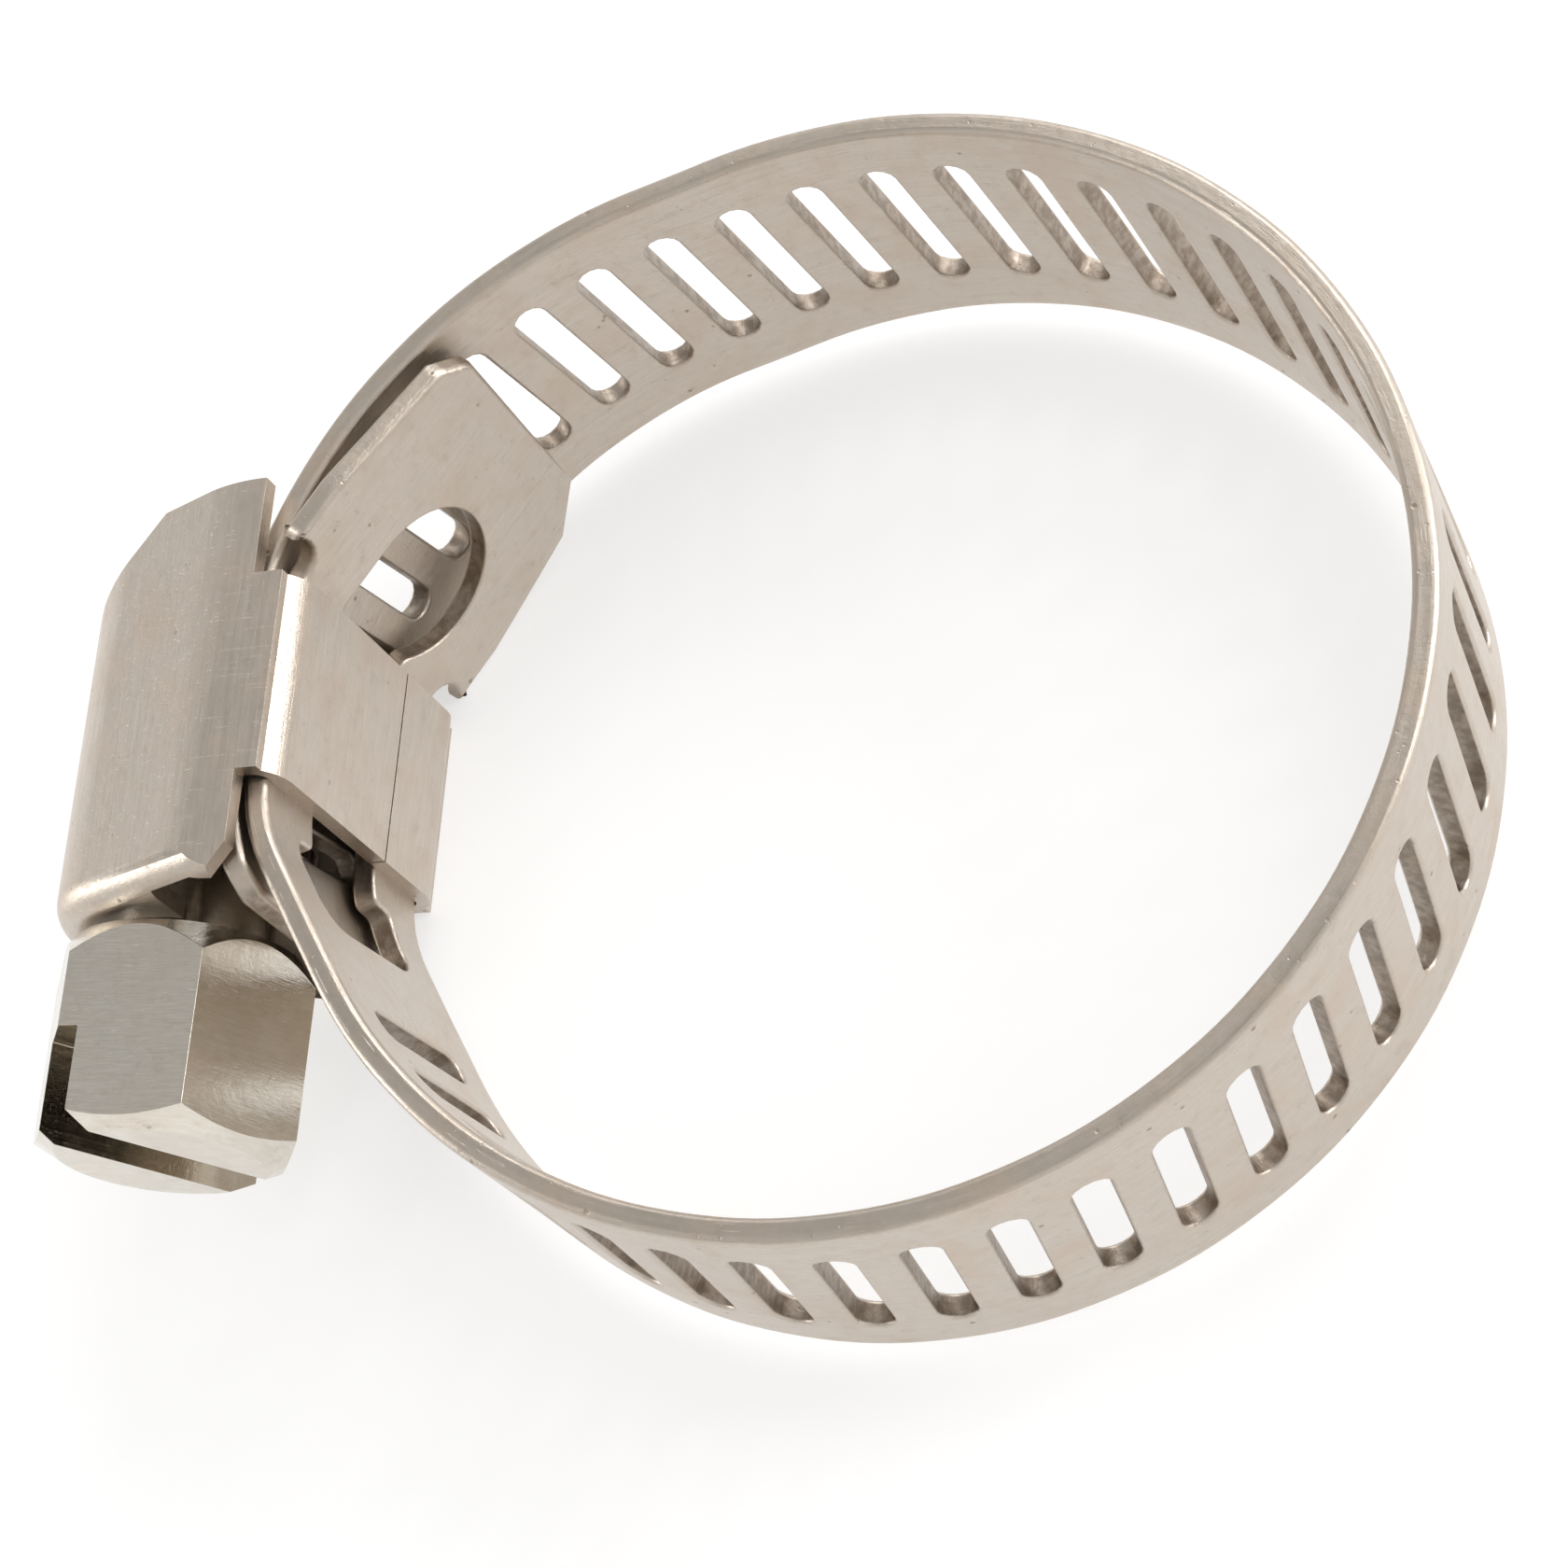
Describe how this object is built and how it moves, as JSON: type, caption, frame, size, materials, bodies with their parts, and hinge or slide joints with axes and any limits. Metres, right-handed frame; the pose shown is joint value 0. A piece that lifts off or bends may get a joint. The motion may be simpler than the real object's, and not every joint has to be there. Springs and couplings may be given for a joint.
{
  "type": "worm-drive hose clamp",
  "caption": "Slotted steel band bent into a ring and drawn tight by a hex-headed worm screw in a folded sheet housing.",
  "frame": {"origin": "centre of the ring that the band makes, at the middle of the band's width", "axes": "+Z along the ring's axis; the housing is on the -X side; the screw lies nearly along Y with its hex head towards -Y"},
  "size_m": [0.0341, 0.0272, 0.0094],
  "materials": {
    "band_steel": "satin, rolled strip",
    "housing_steel": "satin, pressed sheet",
    "screw_steel": "bright, turned"
  },
  "bodies": {
    "root": {"band_fixed_end": "band_steel", "housing": "housing_steel"},
    "loop": {"band_loop": "band_steel"},
    "free_end": {"band_free_end": "band_steel"},
    "screw": {"worm_screw": "screw_steel"}
  },
  "joints": [
    {"name": "screw_spin", "type": "hinge", "parent": "root", "child": "screw", "pos_m": [-0.01716, 0.0001, 0], "axis": [0, 1, 0], "range_deg": [0, 900]},
    {"name": "lower_flex", "type": "hinge", "parent": "root", "child": "loop", "pos_m": [-0.0007, -0.01298, 0], "axis": [0, 0, 1], "range_deg": [0, 10.7]},
    {"name": "upper_flex", "type": "hinge", "parent": "loop", "child": "free_end", "pos_m": [-0.00075, 0.01298, 0], "axis": [0, 0, 1], "range_deg": [0, 10.3]}
  ],
  "couplings": [
    {"joint": "lower_flex", "follows": "screw_spin", "ratio": 0.011691},
    {"joint": "upper_flex", "follows": "screw_spin", "ratio": 0.011286}
  ]
}
